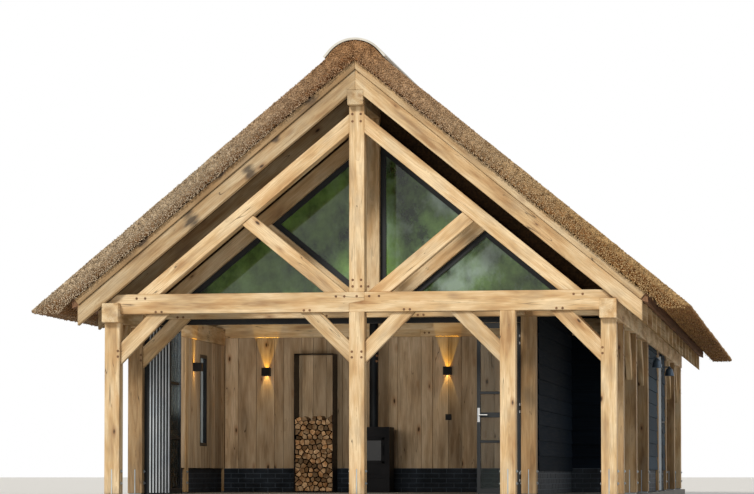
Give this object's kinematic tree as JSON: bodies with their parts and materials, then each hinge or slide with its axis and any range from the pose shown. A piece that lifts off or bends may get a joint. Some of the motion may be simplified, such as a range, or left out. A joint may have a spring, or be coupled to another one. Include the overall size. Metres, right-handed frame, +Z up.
{
  "type": "summer house",
  "caption": "Open oak-framed summer house with a thatched roof, glazed lounge, side aisle, boarded store and rear porch.",
  "frame": {"origin": "on the ground under the middle of the roof", "axes": "+X to the right seen from the front, +Y from the front to the back along the ridge, +Z up"},
  "size_m": [8.22, 15.99, 5.7318],
  "materials": {
    "oak": "sawn",
    "deck_boards": "dark stain",
    "black_boards": "black stain",
    "thatch": "reed",
    "floor": "matte",
    "brick": "matte",
    "galvanised": "galvanised",
    "dark_metal": "satin",
    "steel": "satin",
    "cast_iron": "matte",
    "lamp_grey": "satin",
    "dark_plastic": "matte",
    "glass": "clear"
  },
  "bodies": {
    "house": {"floor_slab": "floor", "post_feet": "galvanised", "front_posts": "oak", "inner_posts": "oak", "rear_posts": "oak", "wall_plates": "oak", "ridge_beam": "oak", "tie_beams_left": "oak", "tie_beams_right": "oak", "king_posts": "oak", "principal_rafters": "oak", "struts": "oak", "cross_braces": "oak", "side_braces": "oak", "aisle_beam": "oak", "rafters_left": "oak", "rafters_right": "oak", "roof_deck_left": "deck_boards", "roof_deck_right": "deck_boards", "verge_boards_left": "oak", "verge_boards_right": "oak", "eave_boards": "deck_boards", "thatch_left": "thatch", "thatch_right": "thatch", "ridge_cap": "thatch", "gable_window_frames": "dark_metal", "gable_window_glass": "glass", "gable_infill": "deck_boards", "cross_walls": "black_boards", "side_walls": "black_boards", "aisle_wall": "black_boards", "oak_lining": "oak", "side_plinths": "brick", "cross_plinths": "brick", "slot_window_frame": "dark_metal", "slot_window_glass": "glass", "door_track": "dark_metal", "folded_leaf_frames": "dark_metal", "folded_leaf_glass": "glass", "side_door_frame": "black_boards", "door_hinges": "steel", "cube_lamps": "dark_metal", "light_switch": "dark_plastic", "bell_lamps": "lamp_grey", "flue_pipe": "dark_metal", "stove": "cast_iron", "firewood_rack": "dark_metal"},
    "pass_door": {"pass_door_frame": "dark_metal", "pass_door_glass": "glass", "pass_door_handle": "steel"},
    "side_door": {"side_door_leaf": "black_boards", "side_door_handle": "steel"}
  },
  "joints": [
    {"name": "pass_door_hinge", "type": "hinge", "parent": "house", "child": "pass_door", "pos_m": [1.881, -6.515, 0], "axis": [0, 0, 1], "range_deg": [0, 90]},
    {"name": "side_door_hinge", "type": "hinge", "parent": "house", "child": "side_door", "pos_m": [3.18, 1.988, 0], "axis": [0, 0, 1], "range_deg": [-4, 86]}
  ]
}
